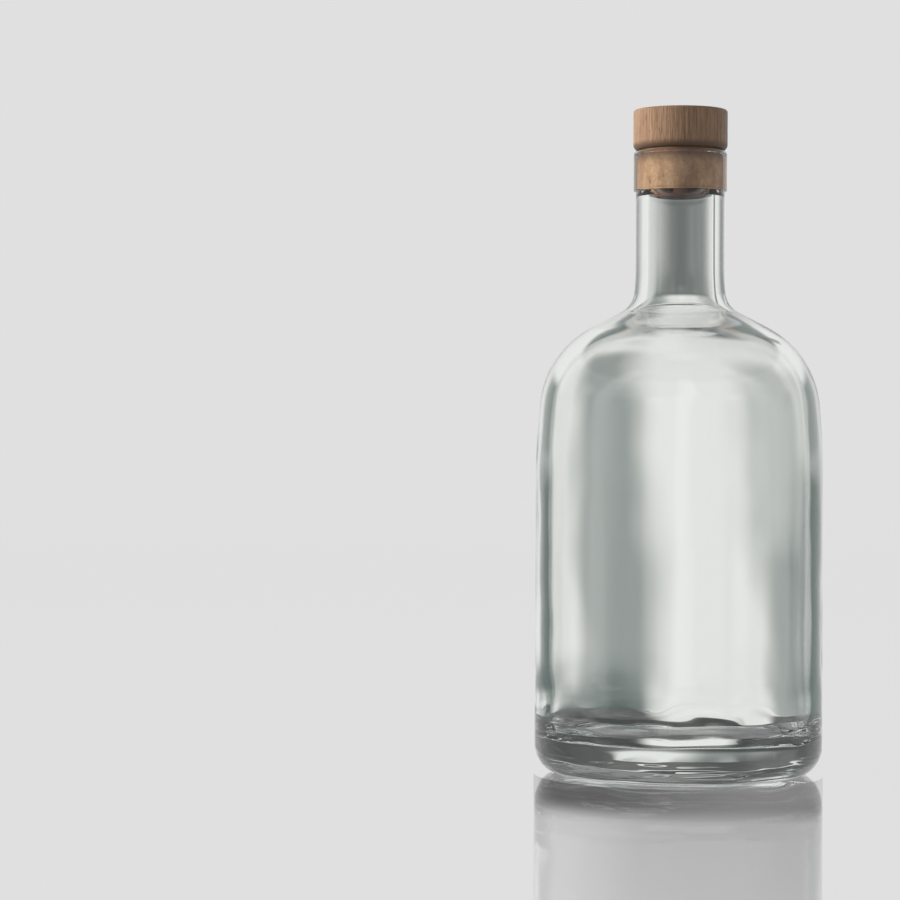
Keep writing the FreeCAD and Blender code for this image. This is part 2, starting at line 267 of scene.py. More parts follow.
def outside_of_glass(glass):
    """The outside outline, from the centre of the push-up round to the edge of the bore."""
    ring_inside = GLASS_TOP.x - glass.heel - glass.ring
    push_up_turn = 2 * math.atan(glass.push_up / ring_inside)
    walk = Walk(0.0, glass.push_up)
    walk.arc(ring_inside / math.sin(push_up_turn) - glass.ring_round, -push_up_turn)
    walk.arc(glass.ring_round, push_up_turn)
    walk.run(glass.ring)
    walk.arc(glass.heel, QUARTER, fine=2)
    walk_up_the_wall(walk, glass, 0.0, 0.0)
    walk.run(glass.collar_step - glass.collar_foot, -QUARTER)
    walk.arc(glass.collar_foot, QUARTER)
    walk.run(glass.collar_height - glass.collar_foot - glass.lip)
    walk.arc(glass.lip, QUARTER)
    walk.to(CORK_TOP.x + glass.mouth, GLASS_TOP.z)
    walk.arc(glass.mouth, QUARTER)
    return walk.points


def inside_of_glass(glass):
    """The inside outline, from the centre of the floor up to the top of the sloping bore."""
    reach = GLASS_TOP.x - glass.side_wall - glass.inner_heel
    crown_turn = math.asin(reach / (glass.crown + glass.inner_heel))
    walk = Walk(0.0, glass.push_up + glass.floor)
    walk.arc(glass.crown, -crown_turn)
    walk.arc(glass.inner_heel, QUARTER + crown_turn, fine=2)
    walk_up_the_wall(walk, glass, glass.side_wall, glass.neck_wall)
    bore_foot = CORK_FOOT.z + glass.cork_below_bore
    walk.points = [point for point in walk.points if point.y < bore_foot - glass.bore_slope]
    walk.to(glass.neck - glass.neck_wall, bore_foot - glass.bore_slope)
    walk.to(CORK_TOP.x, bore_foot)
    return walk.points


def turning_tree():
    """A node tree that turns an outline once round Z, and ripples it where the outline asks for that."""
    tree = bpy.data.node_groups.new("Turn an outline", "GeometryNodeTree")
    sockets = (
        ("Outline", "NodeSocketGeometry"),
        ("Segments", "NodeSocketInt"),
        ("Ripple", "NodeSocketFloat"),
        ("Ripple Size", "NodeSocketFloat"),
        ("Streak", "NodeSocketFloat"),
        ("Streak Size", "NodeSocketFloat"),
        ("Seed", "NodeSocketFloat"),
        ("Material", "NodeSocketMaterial"),
    )
    for name, kind in sockets:
        tree.interface.new_socket(name, in_out="INPUT", socket_type=kind)
    tree.interface.new_socket("Turned", in_out="OUTPUT", socket_type="NodeSocketGeometry")
    given = add(tree, "NodeGroupInput").outputs
    rows = add(tree, "GeometryNodeAttributeDomainSize", {"Geometry": given["Outline"]}).outputs["Point Count"]
    columns = add(tree, "ShaderNodeMath", (given["Segments"], 1.0), operation="ADD").outputs[0]
    sheet = add(tree, "GeometryNodeMeshGrid", {"Vertices X": columns, "Vertices Y": rows}).outputs["Mesh"]
    index = add(tree, "GeometryNodeInputIndex").outputs[0]
    quotient = add(tree, "ShaderNodeMath", (index, rows), operation="DIVIDE").outputs[0]
    column = add(tree, "ShaderNodeMath", (quotient,), operation="FLOOR").outputs[0]
    row = add(tree, "ShaderNodeMath", (index, rows), operation="FLOORED_MODULO").outputs[0]
    share = add(tree, "ShaderNodeMath", (column, given["Segments"]), operation="DIVIDE").outputs[0]
    turn = add(tree, "ShaderNodeMath", (share, math.tau), operation="MULTIPLY").outputs[0]
    place = add(tree, "GeometryNodeInputPosition").outputs[0]
    on_outline = add(
        tree, "GeometryNodeSampleIndex",
        {"Geometry": given["Outline"], "Value": place, "Index": row}, data_type="FLOAT_VECTOR",
    ).outputs[0]
    turned = add(
        tree, "ShaderNodeVectorRotate", {"Vector": on_outline, "Angle": turn}, rotation_type="Z_AXIS"
    ).outputs[0]
    shaped = add(tree, "GeometryNodeSetPosition", {"Geometry": sheet, "Position": turned}).outputs[0]
    for mark in ("ripple", "streak"):
        on_row = add(tree, "GeometryNodeInputNamedAttribute", {"Name": mark}, data_type="FLOAT").outputs[0]
        here = add(
            tree, "GeometryNodeSampleIndex",
            {"Geometry": given["Outline"], "Value": on_row, "Index": row}, data_type="FLOAT",
        ).outputs[0]
        shaped = add(
            tree, "GeometryNodeStoreNamedAttribute",
            {"Geometry": shaped, "Name": mark, "Value": here}, data_type="FLOAT", domain="POINT",
        ).outputs[0]
    closed = add(tree, "GeometryNodeMergeByDistance", {"Geometry": shaped, "Distance": 0.002 * MM}).outputs[0]
    # Ripples are as wide as high and go both ways. Flow marks are ten times as wide, and only sink in.
    uneven = []
    for mark, wide, middle in (("Ripple", 1.0, 0.5), ("Streak", 10.0, 1.0)):
        pitch = add(tree, "ShaderNodeMath", (1.0, given[f"{mark} Size"]), operation="DIVIDE").outputs[0]
        scale = (1 / wide, 1 / wide, 1.0)
        squeezed = add(tree, "ShaderNodeVectorMath", (place, scale), operation="MULTIPLY").outputs[0]
        noise = add(
            tree, "ShaderNodeTexNoise",
            {"Vector": squeezed, "W": given["Seed"], "Scale": pitch, "Detail": 1.0}, noise_dimensions="4D",
        ).outputs[0]
        centred = add(tree, "ShaderNodeMath", (noise, middle), operation="SUBTRACT").outputs[0]
        kept = add(
            tree, "GeometryNodeInputNamedAttribute", {"Name": mark.lower()}, data_type="FLOAT"
        ).outputs[0]
        here = add(tree, "ShaderNodeMath", (centred, kept), operation="MULTIPLY").outputs[0]
        uneven.append(add(tree, "ShaderNodeMath", (here, given[mark]), operation="MULTIPLY").outputs[0])
    offset = add(tree, "ShaderNodeMath", uneven, operation="ADD").outputs[0]
    normal = add(tree, "GeometryNodeInputNormal").outputs[0]
    push = add(tree, "ShaderNodeVectorMath", {0: normal, "Scale": offset}, operation="SCALE").outputs[0]
    rippled = add(tree, "GeometryNodeSetPosition", {"Geometry": closed, "Offset": push}).outputs[0]
    smooth = add(tree, "GeometryNodeSetShadeSmooth", {"Geometry": rippled}).outputs[0]
    real = add(tree, "GeometryNodeRealizeInstances", {"Geometry": smooth}).outputs[0]
    done = add(tree, "GeometryNodeSetMaterial", {"Geometry": real, "Material": given["Material"]}).outputs[0]
    add(tree, "NodeGroupOutput", {"Turned": done})
    return tree


def turn_outline(name, points, material, segments, marks=None, sizes=None):
    """Turn an outline of (radius, height) points into a closed piece, uneven where its marks say."""
    mesh = bpy.data.meshes.new(name)
    edges = [(place, place + 1) for place in range(len(points) - 1)]
    mesh.from_pydata([(point.x, 0.0, point.y) for point in points], edges, [])
    for mark in ("ripple", "streak"):
        values = (marks or {}).get(mark, [0.0] * len(points))
        mesh.attributes.new(mark, "FLOAT", "POINT").data.foreach_set("value", values)
    piece = bpy.data.objects.new(name, mesh)
    bpy.context.scene.collection.objects.link(piece)
    tree = bpy.data.node_groups.get("Turn an outline") or turning_tree()
    modifier = piece.modifiers.new("Turn", "NODES")
    modifier.node_group = tree
    sockets = {item.name: item.identifier for item in tree.interface.items_tree if item.in_out == "INPUT"}
    settings = {"Segments": segments, "Material": material, "Ripple Size": 1.0, "Streak Size": 1.0}
    settings.update(sizes or {})
    for socket, value in settings.items():
        modifier[sockets[socket]] = value
    shown = piece.evaluated_get(bpy.context.evaluated_depsgraph_get())
    finished = bpy.data.meshes.new_from_object(shown)
    piece.modifiers.clear()
    piece.data = finished
    finished.name = name
    for mark in ("ripple", "streak"):
        finished.attributes.remove(finished.attributes[mark])
    finished.set_sharp_from_angle(angle=math.radians(35))
    return piece


def new_material(name):
    """A material with an empty node tree."""
    material = bpy.data.materials.new(name)
    material.use_nodes = True
    material.node_tree.nodes.clear()
    return material


def grain(tree, place, size, stretch, detail=2.0):
    """Noise with features of one size across, drawn out along Z."""
    scaled = add(
        tree, "ShaderNodeMapping", {"Vector": place, "Scale": (1 / size, 1 / size, 1 / size / stretch)}
    ).outputs[0]
    return add(
        tree, "ShaderNodeTexNoise", {"Vector": scaled, "Scale": 1.0, "Detail": detail, "Roughness": 0.6}
    ).outputs[0]


def within(tree, cover, edges):
    """A cover with soft edges. Each has its value, where that is bare, where full, and what bare leaves."""
    for value, bare, full, least in edges:
        part = add(
            tree, "ShaderNodeMapRange", (value, bare, full, least, 1.0), interpolation_type="SMOOTHSTEP"
        ).outputs[0]
        cover = add(tree, "ShaderNodeMath", (cover, part), operation="MULTIPLY").outputs[0]
    return cover


def stained(tree, tone, stains):
    """A tone under darker colours. Each has its pattern, where it starts, where it is full, and its share."""
    for pattern, start, full, share, darker in stains:
        cover = add(
            tree, "ShaderNodeMapRange", (pattern, start, full, 0.0, share), interpolation_type="SMOOTHSTEP"
        ).outputs[0]
        mix = {0: cover, 6: tone, 7: (*darker, 1.0)}
        tone = add(tree, "ShaderNodeMix", mix, data_type="RGBA").outputs[2]
    return tone


def blown_glass(glass):
    """Blown soda-lime glass: smooth and colourless face on, grey-green where the eye looks through much."""
    material = new_material("Blown soda-lime glass")
    tree = material.node_tree
    surface = add(
        tree, "ShaderNodeBsdfPrincipled",
        {"Base Color": WHITE, "Roughness": 0.0, "IOR": 1.52, "Transmission Weight": 1.0},
    ).outputs[0]
    depth = add(
        tree, "ShaderNodeVolumeAbsorption", {"Color": (*glass.tint, 1.0), "Density": glass.tint_density}
    ).outputs[0]
    add(tree, "ShaderNodeOutputMaterial", {"Surface": surface, "Volume": depth})
    return material


def turned_beech(stopper):
    """Turned and waxed beech: upright fibres with short dark flecks on the side, rings on the end grain."""
    material = new_material("Turned beech, waxed")
    tree = material.node_tree
    place = add(tree, "ShaderNodeTexCoord").outputs["Object"]
    bent = grain(tree, place, 9 * MM, 4.0)
    from_pith = add(
        tree, "ShaderNodeMapping",
        {"Vector": place, "Location": (34 * MM, 21 * MM, 0.0), "Scale": LEVEL},
    ).outputs[0]
    radius = add(tree, "ShaderNodeVectorMath", (from_pith,), operation="LENGTH").outputs[1]
    wandering = add(tree, "ShaderNodeMath", (bent, 3 * MM, radius), operation="MULTIPLY_ADD").outputs[0]
    rings = add(tree, "ShaderNodeMath", (wandering, math.tau / (1.7 * MM)), operation="MULTIPLY").outputs[0]
    late = add(tree, "ShaderNodeMath", (rings,), operation="SINE").outputs[0]
    fibre = grain(tree, place, 0.22 * MM, 40.0)
    fleck = grain(tree, place, 0.3 * MM, 6.0, detail=1.0)
    height = add(tree, "ShaderNodeSeparateXYZ", (place,)).outputs[2]
    pore = [0.45 * part for part in stopper.dark_wood]
    # Year rings of 1.7 mm, fibres of 0.22 mm, coarser than real ones so that they show, flecks, and a
    # painted shade along the lower edge, where the head's underside lies in shadow.
    stains = (
        (late, -0.6, 1.0, 0.22, stopper.dark_wood),
        (fibre, 0.34, 0.66, 0.85, stopper.dark_wood),
        (fleck, 0.62, 0.74, 0.6, pore),
        # Painted shade: darker towards the head's lower edge, in the colour of the pores.
        (height, HEAD_FOOT.z + 3.2 * MM, HEAD_FOOT.z + 0.8 * MM, 0.92, pore),
    )
    darkened = stained(tree, (*stopper.light_wood, 1.0), stains)
    relief = add(
        tree, "ShaderNodeBump", {"Strength": 0.35, "Distance": 0.06 * MM, "Height": fibre}
    ).outputs[0]
    surface = add(
        tree, "ShaderNodeBsdfPrincipled",
        {"Base Color": darkened, "Roughness": 0.5, "IOR": 1.48, "Normal": relief},
    ).outputs[0]
    add(tree, "ShaderNodeOutputMaterial", {"Surface": surface})
    return material


def cut_cork(stopper):
    """Natural cork, punched and sanded: soft tan with darker grains and short brown pores."""
    material = new_material("Natural cork, sanded")
    tree = material.node_tree
    place = add(tree, "ShaderNodeTexCoord").outputs["Object"]
    patches = grain(tree, place, 3.4 * MM, 2.2, detail=3.0)
    growth = grain(tree, place, 0.9 * MM, 4.0, detail=3.0)
    cells = add(
        tree, "ShaderNodeTexVoronoi", {"Vector": place, "Scale": 1 / (0.8 * MM), "Randomness": 1.0},
    ).outputs["Color"]
    speckle = add(tree, "ShaderNodeSeparateColor", {"Color": cells}).outputs[0]
    height = add(tree, "ShaderNodeSeparateXYZ", (place,)).outputs[2]
    pore = [0.4 * part for part in stopper.dark_cork]
    # Soft patches, grains of 0.8 mm, the end that the drink wets, the end in the mouth, and pores.
    stains = (
        (patches, 0.35, 0.7, 0.6, stopper.dark_cork),
        (speckle, 0.0, 1.0, 0.28, stopper.dark_cork),
        (height, CORK_FOOT.z + 3.6 * MM, CORK_FOOT.z + 2.2 * MM, 1.0, stopper.stained_cork),
        (height, GLASS_TOP.z - 5.5 * MM, GLASS_TOP.z - 0.3 * MM, 0.85, stopper.stained_cork),
        (growth, 0.6, 0.7, 0.55, pore),
    )
    pored = stained(tree, (*stopper.light_cork, 1.0), stains)
    relief = add(
        tree, "ShaderNodeBump", {"Strength": 0.4, "Distance": 0.1 * MM, "Height": growth}
    ).outputs[0]
    surface = add(
        tree, "ShaderNodeBsdfPrincipled",
        {"Base Color": pored, "Roughness": 0.75, "IOR": 1.4, "Normal": relief},
    ).outputs[0]
    add(tree, "ShaderNodeOutputMaterial", {"Surface": surface})
    return material


def table_top(studio):
    """Polished white acrylic sheet: even pale grey, its mirror image near the foot partly painted over in
    grey.
    """
    material = new_material("Polished acrylic sheet")
    tree = material.node_tree
    place = add(tree, "ShaderNodeTexCoord").outputs["Object"]
    ray = add(tree, "ShaderNodeNewGeometry").outputs["Incoming"]
    direct = seen_directly(tree, through_glass=False)
    soft = add(tree, "ShaderNodeBsdfDiffuse", {"Color": (0.8, 0.8, 0.8, 1.0)}).outputs[0]
    even = add(tree, "ShaderNodeEmission", {"Color": (*studio.paper, 1.0), "Strength": 1.04}).outputs[0]
    evenly = add(tree, "ShaderNodeMath", (direct, 0.9), operation="MULTIPLY").outputs[0]
    base = add(tree, "ShaderNodeMixShader", (evenly, soft, even)).outputs[0]
    mirror = add(tree, "ShaderNodeBsdfGlossy", {"Color": WHITE, "Roughness": 0.03}).outputs[0]
    # The mirror image is partly painted over in glowing grey where its ray climbs through an upright
    # cylinder round the foot: less towards the cylinder's sides, and not at all from 70 mm up.
    onward = add(tree, "ShaderNodeVectorMath", (ray, (-1.0, -1.0, 1.0)), operation="MULTIPLY").outputs[0]
    ahead, square, aside = cylinder_ahead(tree, place, onward, studio.painted_grey_radius)
    rise = add(tree, "ShaderNodeSeparateXYZ", (onward,)).outputs[2]
    met = add(tree, "ShaderNodeMath", (ahead, rise), operation="MULTIPLY").outputs[0]
    painted_grey_edges = (
        (square, 0.0, 0.03, 0.0),
        (square, 0.2, 0.55, 0.3),
        (met, 0.2 * MM, 0.6 * MM, 0.0),
        (met, 70 * MM, 50 * MM, 0.0),
    )
    cover = within(tree, direct, painted_grey_edges)
    low, high, raised = [
        add(tree, "ShaderNodeMapRange", levels, interpolation_type="SMOOTHSTEP").outputs[0]
        for levels in (
            (aside, -30 * MM, 30 * MM, 0.0, 0.15),
            (aside, -40 * MM, 2 * MM, 0.42, 0.07),
            (met, 5 * MM, 13 * MM),
        )
    ]
    grey = add(tree, "ShaderNodeMix", {0: raised, 2: low, 3: high}, data_type="FLOAT").outputs[0]
    # A glowing grey, painted over the mirror image as a darker reflection.
    painted_grey = add(tree, "ShaderNodeEmission", {"Color": WHITE, "Strength": grey}).outputs[0]
    painted_grey_share = add(tree, "ShaderNodeMath", (cover, studio.painted_grey), operation="MULTIPLY").outputs[0]
    dimmed = add(tree, "ShaderNodeMixShader", (painted_grey_share, mirror, painted_grey)).outputs[0]
    # Near the foot the sheet mirrors more than its Fresnel share, up to 0.85.
    grazing = add(tree, "ShaderNodeFresnel", {"IOR": 1.49}).outputs[0]
    away = add(tree, "ShaderNodeVectorMath", (place,), operation="LENGTH").outputs[1]
    boost = add(
        tree, "ShaderNodeMapRange", (away, 200 * MM, 85 * MM, 0.0, 1.7), interpolation_type="SMOOTHSTEP"
    ).outputs[0]
    boosted = add(tree, "ShaderNodeMath", (grazing, boost), operation="MULTIPLY").outputs[0]
    near = add(tree, "ShaderNodeMath", (boosted, 0.85), operation="MINIMUM").outputs[0]
    share = add(tree, "ShaderNodeMath", (grazing, near), operation="MAXIMUM").outputs[0]
    polished = add(tree, "ShaderNodeMixShader", (share, base, dimmed)).outputs[0]
    add(tree, "ShaderNodeOutputMaterial", {"Surface": polished})
    return material


def seen_directly(tree, through_glass=True):
    """One for rays from the camera, and for what mirrors and glass show it, and none for light."""
    path = add(tree, "ShaderNodeLightPath").outputs
    kinds = ["Is Glossy Ray", "Is Transmission Ray"] if through_glass else ["Is Glossy Ray"]
    shown = path["Is Camera Ray"]
    for kind in kinds:
        shown = add(tree, "ShaderNodeMath", (shown, path[kind]), operation="ADD", use_clamp=True).outputs[0]
    return shown


# The tent's shades. Each has its bearing from the line of sight, half its width and the softness of its
# left and right edges, all in degrees, then how much light it takes, and the two distances between which
# it hangs: heights above the table on upright cloth, and distances from the axis on level cloth.
WALL_SHADES = (
    (40.0, 9.0, 13.0, 12.0, 0.95, -0.1, 0.1),
    (42.0, 7.0, 13.0, 12.0, 0.8, 0.1, 0.17),
    (18.0, 4.0, 8.0, 8.0, 0.42, 0.068, 0.16),
    (24.0, 6.0, 9.0, 8.0, 0.62, -0.1, 0.07),
    (-10.0, 2.0, 9.0, 7.0, 0.64, -0.1, 0.175),
    (-28.0, 16.0, 6.0, 12.0, 0.85, -0.1, 0.016),
    (0.0, 50.0, 1.0, 1.0, 0.92, 0.262, 0.9),
)
TABLE_SHADES = (
    (40.0, 16.0, 10.0, 12.0, 0.97, -0.1, 0.9),
    (-26.0, 18.0, 10.0, 12.0, 0.93, -0.1, 0.9),
    (0.0, 50.0, 1.0, 1.0, 0.9, -0.1, 0.068),
)
UNDER_SHADES = (
    (0.0, 90.0, 1.0, 1.0, 0.92, -0.1, 0.026),
    (58.0, 32.0, 12.0, 1.0, 0.95, -0.1, 0.9),
    (-62.0, 28.0, 1.0, 12.0, 0.95, -0.1, 0.9),
)
LID_SHADES = ((0.0, 50.0, 1.0, 1.0, 0.9, -0.1, 0.9),)
NECK_SHADES = (
    (7.0, 11.0, 32.0, 32.0, 0.87, 0.1545, 0.1925),
    (-32.0, 4.0, 12.0, 12.0, 0.25, 0.1545, 0.1925),
    (66.0, 2.0, 4.0, 3.0, 0.8, 0.1545, 0.1925),
)
COLLAR_SHADES = ((0.0, 90.0, 1.0, 1.0, 1.0, 0.1925, 0.2085),)
FOOT_SHADES = (
    (0.0, 50.0, 1.0, 1.0, 0.88, 0.006, 0.0112),
    (0.0, 50.0, 1.0, 1.0, 0.75, -0.1, 0.0047),
)
# The shades come again after so many degrees.
ROUND_ABOUT = 90.0
FRONT_AND_BACK = 180.0


def bearing_of(tree, place, eye):
    """Degrees round the bottle's axis between the line of sight and a place."""
    turns = []
    for spot in (place, eye):
        x, y = add(tree, "ShaderNodeSeparateXYZ", (spot,)).outputs[:2]
        turns.append(add(tree, "ShaderNodeMath", (x, y), operation="ARCTAN2").outputs[0])
    apart = add(tree, "ShaderNodeMath", turns, operation="SUBTRACT").outputs[0]
    return add(tree, "ShaderNodeMath", (apart, math.degrees(1.0)), operation="MULTIPLY").outputs[0]


def light_left(tree, bearing, along, drawn, shades, panel, rise):
    """How much light the shades leave at a bearing and at a height or distance, where their edges rise."""
    light = 1.0
    for centre, half, left, right, strength, low, high in shades:
        off = add(tree, "ShaderNodeMath", (bearing, centre), operation="SUBTRACT").outputs[0]
        off = add(tree, "ShaderNodeMath", (off, -panel / 2, panel / 2), operation="WRAP").outputs[0]
        edges = (
            (off, -half - left, -half, 0.0),
            (off, half + right, half, 0.0),
            (along, low - rise, low + rise, 0.0),
            (along, high + rise, high - rise, 0.0),
        )
        cover = within(tree, drawn, edges)
        kept = add(tree, "ShaderNodeMath", (cover, -strength, 1.0), operation="MULTIPLY_ADD").outputs[0]
        light = add(tree, "ShaderNodeMath", (kept, light), operation="MULTIPLY").outputs[0]
    return light


def cylinder_ahead(tree, place, heading, radius):
    """Where a ray first meets an upright cylinder round the bottle's axis.

    Gives how far ahead of the place that is, how squarely the cylinder is met there, from 0 to 1, and how
    far aside of the axis the ray passes.
    """
    level_place, level_heading = [
        add(tree, "ShaderNodeVectorMath", (vector, LEVEL), operation="MULTIPLY").outputs[0]
        for vector in (place, heading)
    ]
    pairs = ((level_heading, level_heading), (level_place, level_heading), (level_place, level_place))
    reach, lean, span = [
        add(tree, "ShaderNodeVectorMath", pair, operation="DOT_PRODUCT").outputs[1] for pair in pairs
    ]
    gap = add(tree, "ShaderNodeMath", (span, radius * radius), operation="SUBTRACT").outputs[0]
    lean_squared = add(tree, "ShaderNodeMath", (lean, lean), operation="MULTIPLY").outputs[0]
    short_by = add(tree, "ShaderNodeMath", (reach, gap), operation="MULTIPLY").outputs[0]
    room = add(tree, "ShaderNodeMath", (lean_squared, short_by), operation="SUBTRACT").outputs[0]
    root = add(tree, "ShaderNodeMath", (room,), operation="SQRT").outputs[0]
    nearer = add(tree, "ShaderNodeMath", (lean, root), operation="ADD").outputs[0]
    backward = add(tree, "ShaderNodeMath", (nearer, -1.0), operation="MULTIPLY").outputs[0]
    ahead = add(tree, "ShaderNodeMath", (backward, reach), operation="DIVIDE").outputs[0]
    width = add(tree, "ShaderNodeMath", (reach,), operation="SQRT").outputs[0]
    widest = add(tree, "ShaderNodeMath", (width, radius), operation="MULTIPLY").outputs[0]
    square = add(tree, "ShaderNodeMath", (root, widest), operation="DIVIDE").outputs[0]
    pair = (level_place, level_heading)
    crossed = add(tree, "ShaderNodeVectorMath", pair, operation="CROSS_PRODUCT").outputs[0]
    moment = add(tree, "ShaderNodeSeparateXYZ", (crossed,)).outputs[2]
    return ahead, square, add(tree, "ShaderNodeMath", (moment, width), operation="DIVIDE").outputs[0]


def tent_cloth(name, studio, shade, upright):
    """Diffusion cloth, lit from behind, with soft cloudy shades that only rays out of the glass can see.

    The shades turn with the eye, so that the glass shows them alike from every side, and fade as it rises.
    Besides the shades on the cloth, there are those that a ray passes close to the neck, collar and foot.
    """
    material = new_material(name)
    tree = material.node_tree
    place = add(tree, "ShaderNodeTexCoord").outputs["Object"]
    eye = add(
        tree, "ShaderNodeVectorTransform", {"Vector": (0.0, 0.0, 0.0)},
        vector_type="POINT", convert_from="CAMERA", convert_to="WORLD",
    ).outputs[0]
    level_eye = add(tree, "ShaderNodeVectorMath", (eye, LEVEL), operation="MULTIPLY").outputs[0]
    back = add(tree, "ShaderNodeVectorMath", (level_eye,), operation="LENGTH").outputs[1]
    up = add(tree, "ShaderNodeSeparateXYZ", (eye,)).outputs[2]
    slope = add(tree, "ShaderNodeMath", (up, back), operation="DIVIDE").outputs[0]
    drawn, drawn_under = [
        add(tree, "ShaderNodeMapRange", (slope, *fade), interpolation_type="SMOOTHSTEP").outputs[0]
        for fade in ((0.2, 0.44, 1.0, studio.raised_shade), (0.12, 0.34, 1.0, 0.0))
    ]
    cloud = add(tree, "ShaderNodeTexNoise", {"Vector": place, "Scale": 10.0, "Detail": 2.0}).outputs[0]
    swings = (cloud, 0.25, 0.75, -studio.sway, studio.sway)
    sway = add(tree, "ShaderNodeMapRange", swings, interpolation_type="SMOOTHSTEP").outputs[0]
    swayed = (sway, math.degrees(1.0), bearing_of(tree, place, eye))
    bearing = add(tree, "ShaderNodeMath", swayed, operation="MULTIPLY_ADD").outputs[0]
    height = add(tree, "ShaderNodeSeparateXYZ", (place,)).outputs[2]
    if upright:
        along = add(tree, "ShaderNodeMath", (sway, 12 * MM, height), operation="MULTIPLY_ADD").outputs[0]
        light = light_left(tree, bearing, along, drawn, WALL_SHADES, ROUND_ABOUT, 12 * MM)
    else:
        away = add(tree, "ShaderNodeVectorMath", (place,), operation="LENGTH").outputs[1]
        light = light_left(tree, bearing, away, drawn_under, UNDER_SHADES, FRONT_AND_BACK, 3 * MM)
        beside = (away, 48.4 * MM, 48.6 * MM)
        outside = add(tree, "ShaderNodeMapRange", beside, interpolation_type="SMOOTHSTEP").outputs[0]
        overhead = add(tree, "ShaderNodeMath", (height, 100 * MM), operation="GREATER_THAN").outputs[0]
        for cover, shades in ((outside, TABLE_SHADES), (overhead, LID_SHADES)):
            other = light_left(tree, bearing, away, drawn, shades, ROUND_ABOUT, 6 * MM)
            light = add(tree, "ShaderNodeMix", {0: cover, 2: light, 3: other}, data_type="FLOAT").outputs[0]
    mix = {0: light, 6: (*shade, 1.0), 7: (*studio.cloth, 1.0)}
    tone = add(tree, "ShaderNodeMix", mix, data_type="RGBA").outputs[2]
    ray = add(tree, "ShaderNodeNewGeometry").outputs["Incoming"]
    passed = cylinder_ahead(tree, place, ray, studio.close)[0]
    inward = add(tree, "ShaderNodeVectorMath", {0: ray, "Scale": passed}, operation="SCALE").outputs[0]
    crossing = add(tree, "ShaderNodeVectorMath", (place, inward), operation="ADD").outputs[0]
    crossing_height = add(tree, "ShaderNodeSeparateXYZ", (crossing,)).outputs[2]
    crossing_bearing = bearing_of(tree, crossing, eye)
    for shades, colour_there, panel, rise in (
        (NECK_SHADES, studio.dusk, FRONT_AND_BACK, 2.5 * MM),
        (COLLAR_SHADES, studio.buff, FRONT_AND_BACK, 0.5 * MM),
        (FOOT_SHADES, studio.gloom, ROUND_ABOUT, 0.4 * MM),
    ):
        clear = light_left(tree, crossing_bearing, crossing_height, drawn, shades, panel, rise)
        mix = {0: clear, 6: (*colour_there, 1.0), 7: tone}
        tone = add(tree, "ShaderNodeMix", mix, data_type="RGBA").outputs[2]
    face = add(tree, "ShaderNodeEmission", {"Color": tone}).outputs[0]
    add(tree, "ShaderNodeOutputMaterial", {"Surface": face})
    return material


class BOTTLE_OT_glass(bpy.types.Operator):
    """Turn the bottle's glass, with its hollow, neck and collar"""

    bl_idname = "bottle.glass"
    bl_label = "Glass"

    def execute(self, context):
        glass = context.scene.bottle_glass
        outside = outside_of_glass(glass)
        inside = inside_of_glass(glass)
        inside.reverse()
        heel_streaks = [heel_streak_at(point) for point in outside]
        rim_streaks = [rim_streak_at(point) for point in inside]
        marks = {
            "ripple": [0.0] * len(outside) + [ripple_at(point) for point in inside],
            "streak": heel_streaks + rim_streaks,
        }
        sizes = {
            "Ripple": glass.ripple, "Ripple Size": glass.ripple_size,
            "Streak": glass.streak, "Streak Size": glass.streak_size, "Seed": 3.0,
        }
        piece = turn_outline("glass", outside + inside, blown_glass(glass), glass.segments, marks, sizes)
        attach(piece, "root")
        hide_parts("bottle_glass")
        return {"FINISHED"}


def heel_streak_at(point):
    """How much of the flow marks the outside has at a point: only in the heel, above the bearing ring."""
    if point.x < 40 * MM:
        return 0.0
    return max(0.0, min(1.0, (point.y - 0.5 * MM) / (2 * MM), (9 * MM - point.y) / (2 * MM)))


def rim_streak_at(point):
    """How much of the flow marks the hollow has at a point: round the rim of its floor."""
    return max(0.0, min(1.0, (point.x - 24 * MM) / (10 * MM), (26 * MM - point.y) / (6 * MM)))


def ripple_at(point):
    """How much of the ripple the hollow's wall has at a point: most at the floor, none at the bore."""
    near_floor = min(1.0, max(0.0, (34 * MM - point.y) / (14 * MM)))
    below_bore = min(1.0, max(0.0, (178 * MM - point.y) / (30 * MM)))
    return below_bore * (0.15 + 0.85 * near_floor)


class BOTTLE_OT_stopper(bpy.types.Operator):
    """Turn the stopper's wooden head and its cork"""

    bl_idname = "bottle.stopper"
    bl_label = "Stopper"

    def execute(self, context):
        stopper = context.scene.bottle_stopper
        bore = CORK_TOP.x
        walk = Walk(0.0, CORK_TOP.z)
        walk.to(bore, CORK_TOP.z)
        walk.to(bore, HEAD_FOOT.z)
        walk.to(HEAD_TOP.x - stopper.foot, HEAD_FOOT.z)
        walk.arc(stopper.foot, QUARTER)
        walk.to(HEAD_TOP.x, HEAD_TOP.z - stopper.crown)
        walk.arc(stopper.crown, QUARTER)
        walk.to(0.0, HEAD_TOP.z)
        head = turn_outline("stopper_head_wood", walk.points, turned_beech(stopper), stopper.segments)
        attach(head, "root")
        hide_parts("stopper_head")
        pressed = bore + stopper.squeeze
        walk = Walk(0.0, CORK_FOOT.z)
        walk.to(bore - stopper.bevel, CORK_FOOT.z)
        walk.to(pressed, CORK_FOOT.z + stopper.bevel)
        walk.to(pressed, GLASS_TOP.z - 2 * MM)
        walk.to(bore, GLASS_TOP.z - MM)
        walk.to(bore, CORK_TOP.z)
        walk.to(0.0, CORK_TOP.z)
        cork = turn_outline("stopper_cork_plug", walk.points, cut_cork(stopper), stopper.segments)
        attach(cork, "root")
        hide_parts("stopper_cork")
        return {"FINISHED"}


